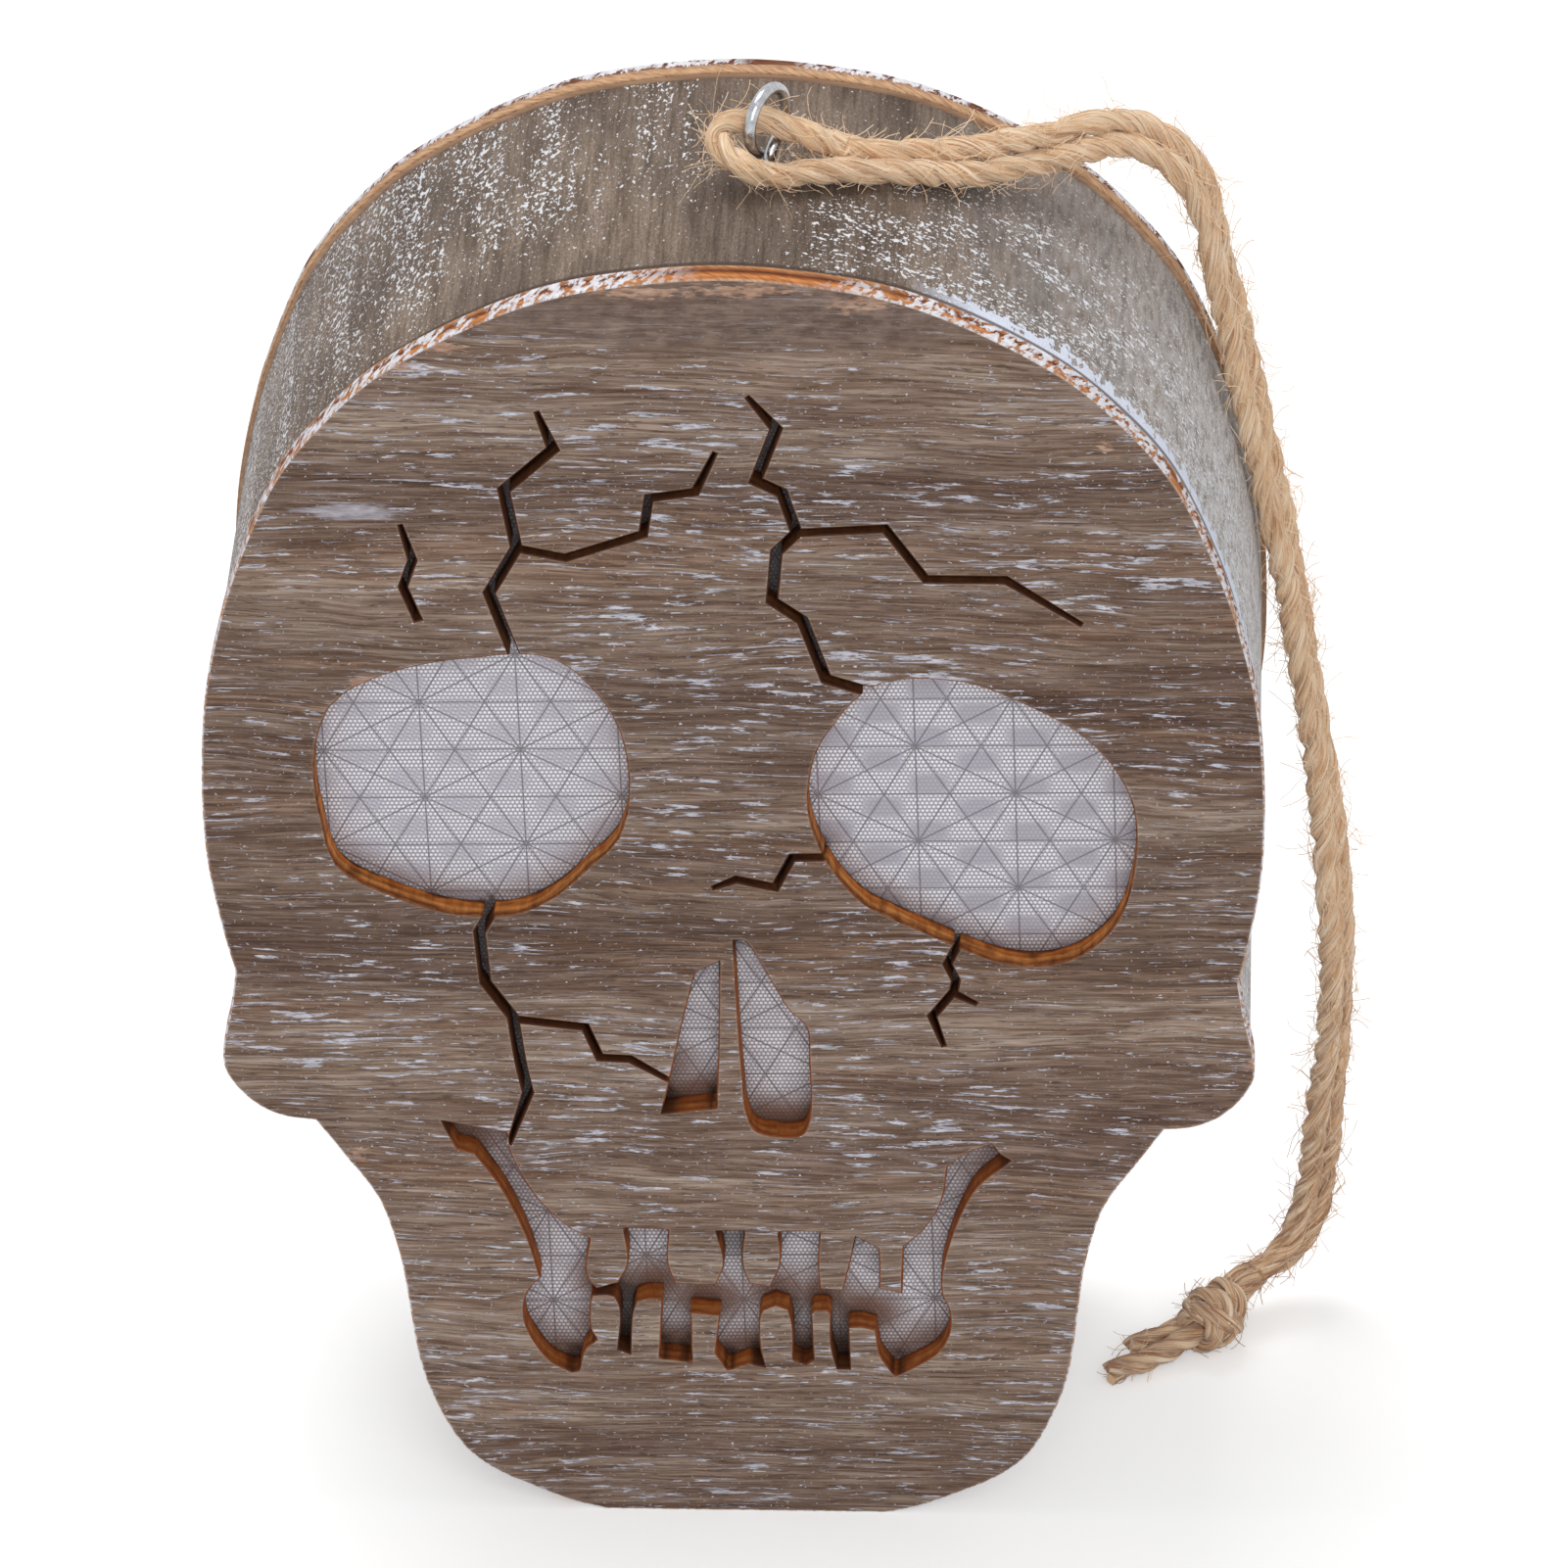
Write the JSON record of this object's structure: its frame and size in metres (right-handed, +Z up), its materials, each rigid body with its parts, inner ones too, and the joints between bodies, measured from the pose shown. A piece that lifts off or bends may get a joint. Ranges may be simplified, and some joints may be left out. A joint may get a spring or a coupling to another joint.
{
  "type": "skull lantern",
  "caption": "Wooden skull-shaped light box with cut-out eyes, nose and toothed mouth over a pale film, battery lamps, a door and switch in the back, and a twine hanger.",
  "frame": {"origin": "middle of the foot: centre of the box's length and depth at the floor, without the twine", "axes": "+Z up through the crown, -Y out of the face, +X to the right of the face as it is looked at"},
  "size_m": [0.1417, 0.0524, 0.1947],
  "materials": {
    "limed_wood": "grey-brown plywood rubbed with white, horizontal grain",
    "grey_wood": "olive-grey veneer band, brushed with white",
    "bare_wood": "bare softwood",
    "film": "silvery lilac diffusing film",
    "nickel_steel": "bright nickel plate",
    "brass": "satin",
    "jute": "hairy golden tan twine",
    "black_plastic": "fine spark texture",
    "green_board": "lacquered board",
    "lamp_resin": "clear warm resin",
    "cell_sleeve": "plain printed sleeve",
    "ceramic": "tan lacquer",
    "red_sleeve": "soft sleeve",
    "black_sleeve": "soft sleeve"
  },
  "bodies": {
    "lantern": {"front_plate": "limed_wood", "back_plate": "limed_wood", "side_band": "grey_wood", "hanger_block": "bare_wood", "diffuser_film": "film", "eye_screw": "nickel_steel", "twine_front": "jute", "twine_bight": "jute", "twine_rear": "jute", "twine_knot": "jute", "battery_case": "black_plastic", "switch_body": "nickel_steel", "battery_upper": "cell_sleeve", "battery_lower": "cell_sleeve", "spring_upper": "nickel_steel", "spring_lower": "nickel_steel", "contact_bridge": "nickel_steel", "contact_positive": "nickel_steel", "contact_negative": "nickel_steel", "lamp_board": "green_board", "lamp_left": "lamp_resin", "lamp_middle": "lamp_resin", "lamp_right": "lamp_resin", "lamp_resistor": "ceramic", "lead_red": "red_sleeve", "lead_switch": "red_sleeve", "lead_black": "black_sleeve", "case_screw_1": "brass", "case_screw_2": "brass", "case_screw_3": "brass", "case_screw_4": "brass", "board_screw_1": "nickel_steel", "board_screw_2": "nickel_steel"},
    "battery_door": {"battery_door": "black_plastic"},
    "switch_knob": {"switch_knob": "black_plastic"}
  },
  "joints": [
    {"name": "door_hinge", "type": "hinge", "parent": "lantern", "child": "battery_door", "pos_m": [0, 0.02435, 0.0765], "axis": [-1, 0, 0], "range_deg": [0, 90]},
    {"name": "switch_slide", "type": "slide", "parent": "lantern", "child": "switch_knob", "axis": [1, 0, 0], "range_m": [0, 0.004]}
  ]
}
